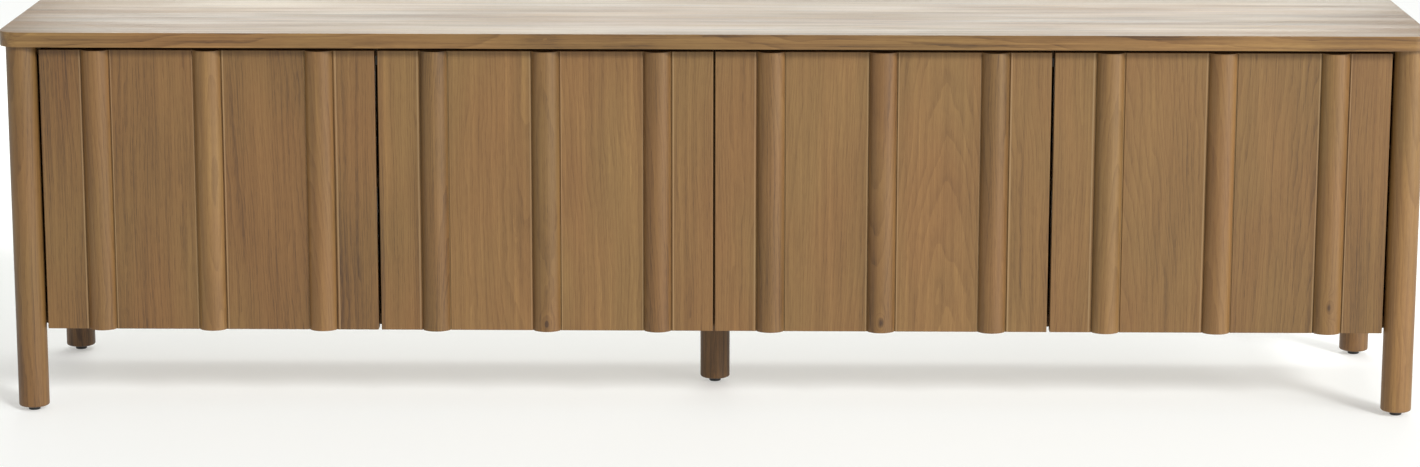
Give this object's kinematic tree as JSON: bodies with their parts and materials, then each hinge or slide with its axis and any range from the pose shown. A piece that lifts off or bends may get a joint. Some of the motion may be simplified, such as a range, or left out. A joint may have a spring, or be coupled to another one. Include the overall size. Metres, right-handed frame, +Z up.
{
  "type": "media cabinet",
  "caption": "Long, low media cabinet on round corner posts, with doors fronted by half-round battens that swing on concealed hinges over two shelved bays.",
  "frame": {"origin": "on the floor, at the centre of the footprint", "axes": "+X along the cabinet towards its right-hand end as seen from the front, -Y towards the front with the doors, +Z up"},
  "size_m": [2.134, 0.457, 0.584],
  "materials": {
    "stained_oak": "light brown stain, satin lacquer",
    "batten_oak": "light brown stain, satin lacquer",
    "top_oak": "light brown stain, satin lacquer",
    "back_board": "stained plywood, matt",
    "black_plastic": "moulded, fine texture",
    "grey_plastic": "moulded, fine texture",
    "nickel_steel": "nickel-plated steel"
  },
  "bodies": {
    "cabinet": {"top": "top_oak", "post_front_left": "batten_oak", "glide_front_left": "black_plastic", "post_front_right": "batten_oak", "glide_front_right": "black_plastic", "post_rear_left": "batten_oak", "glide_rear_left": "black_plastic", "post_rear_right": "batten_oak", "glide_rear_right": "black_plastic", "centre_leg": "batten_oak", "centre_leg_plate": "nickel_steel", "glide_centre": "black_plastic", "side_panel_left": "stained_oak", "side_panel_right": "stained_oak", "bottom_panel": "stained_oak", "top_rail_front": "stained_oak", "top_rail_rear": "stained_oak", "centre_partition": "stained_oak", "back_panel_left": "back_board", "shelf_left": "stained_oak", "latch_housing_left": "grey_plastic", "back_panel_right": "back_board", "shelf_right": "stained_oak", "latch_housing_right": "grey_plastic", "door_1_hinge_arm_lower": "nickel_steel", "door_1_hinge_arm_upper": "nickel_steel", "door_2_hinge_arm_lower": "nickel_steel", "door_2_hinge_arm_upper": "nickel_steel", "door_3_hinge_arm_lower": "nickel_steel", "door_3_hinge_arm_upper": "nickel_steel", "door_4_hinge_arm_lower": "nickel_steel", "door_4_hinge_arm_upper": "nickel_steel"},
    "door_1": {"door_1_panel": "stained_oak", "door_1_batten_1": "batten_oak", "door_1_batten_2": "batten_oak", "door_1_batten_3": "batten_oak", "door_1_hinge_cup_lower": "nickel_steel", "door_1_hinge_cup_upper": "nickel_steel"},
    "door_2": {"door_2_panel": "stained_oak", "door_2_batten_1": "batten_oak", "door_2_batten_2": "batten_oak", "door_2_batten_3": "batten_oak", "door_2_hinge_cup_lower": "nickel_steel", "door_2_hinge_cup_upper": "nickel_steel"},
    "door_3": {"door_3_panel": "stained_oak", "door_3_batten_1": "batten_oak", "door_3_batten_2": "batten_oak", "door_3_batten_3": "batten_oak", "door_3_hinge_cup_lower": "nickel_steel", "door_3_hinge_cup_upper": "nickel_steel"},
    "door_4": {"door_4_panel": "stained_oak", "door_4_batten_1": "batten_oak", "door_4_batten_2": "batten_oak", "door_4_batten_3": "batten_oak", "door_4_hinge_cup_lower": "nickel_steel", "door_4_hinge_cup_upper": "nickel_steel"},
    "door_1_plunger": {"door_1_latch_plunger": "black_plastic"},
    "door_2_plunger": {"door_2_latch_plunger": "black_plastic"},
    "door_3_plunger": {"door_3_latch_plunger": "black_plastic"},
    "door_4_plunger": {"door_4_latch_plunger": "black_plastic"}
  },
  "joints": [
    {"name": "door_1_hinge", "type": "hinge", "parent": "cabinet", "child": "door_1", "pos_m": [-1.009, -0.2065, 0.3415], "axis": [0, 0, -1], "range_deg": [0, 105]},
    {"name": "door_2_hinge", "type": "hinge", "parent": "cabinet", "child": "door_2", "pos_m": [-0.0015, -0.2065, 0.3415], "axis": [0, 0, 1], "range_deg": [0, 80]},
    {"name": "door_3_hinge", "type": "hinge", "parent": "cabinet", "child": "door_3", "pos_m": [0.0015, -0.2065, 0.3415], "axis": [0, 0, -1], "range_deg": [0, 80]},
    {"name": "door_4_hinge", "type": "hinge", "parent": "cabinet", "child": "door_4", "pos_m": [1.009, -0.2065, 0.3415], "axis": [0, 0, 1], "range_deg": [0, 105]},
    {"name": "door_1_plunger_slide", "type": "slide", "parent": "cabinet", "child": "door_1_plunger", "axis": [0, -1, 0], "range_m": [0, 0.0061]},
    {"name": "door_2_plunger_slide", "type": "slide", "parent": "cabinet", "child": "door_2_plunger", "axis": [0, -1, 0], "range_m": [0, 0.0061]},
    {"name": "door_3_plunger_slide", "type": "slide", "parent": "cabinet", "child": "door_3_plunger", "axis": [0, -1, 0], "range_m": [0, 0.0061]},
    {"name": "door_4_plunger_slide", "type": "slide", "parent": "cabinet", "child": "door_4_plunger", "axis": [0, -1, 0], "range_m": [0, 0.0061]}
  ],
  "couplings": [
    {"joint": "door_1_plunger_slide", "follows": "door_1_hinge", "m_per_rad": 0.003274},
    {"joint": "door_2_plunger_slide", "follows": "door_2_hinge", "m_per_rad": 0.004297},
    {"joint": "door_3_plunger_slide", "follows": "door_3_hinge", "m_per_rad": 0.004297},
    {"joint": "door_4_plunger_slide", "follows": "door_4_hinge", "m_per_rad": 0.003274}
  ]
}
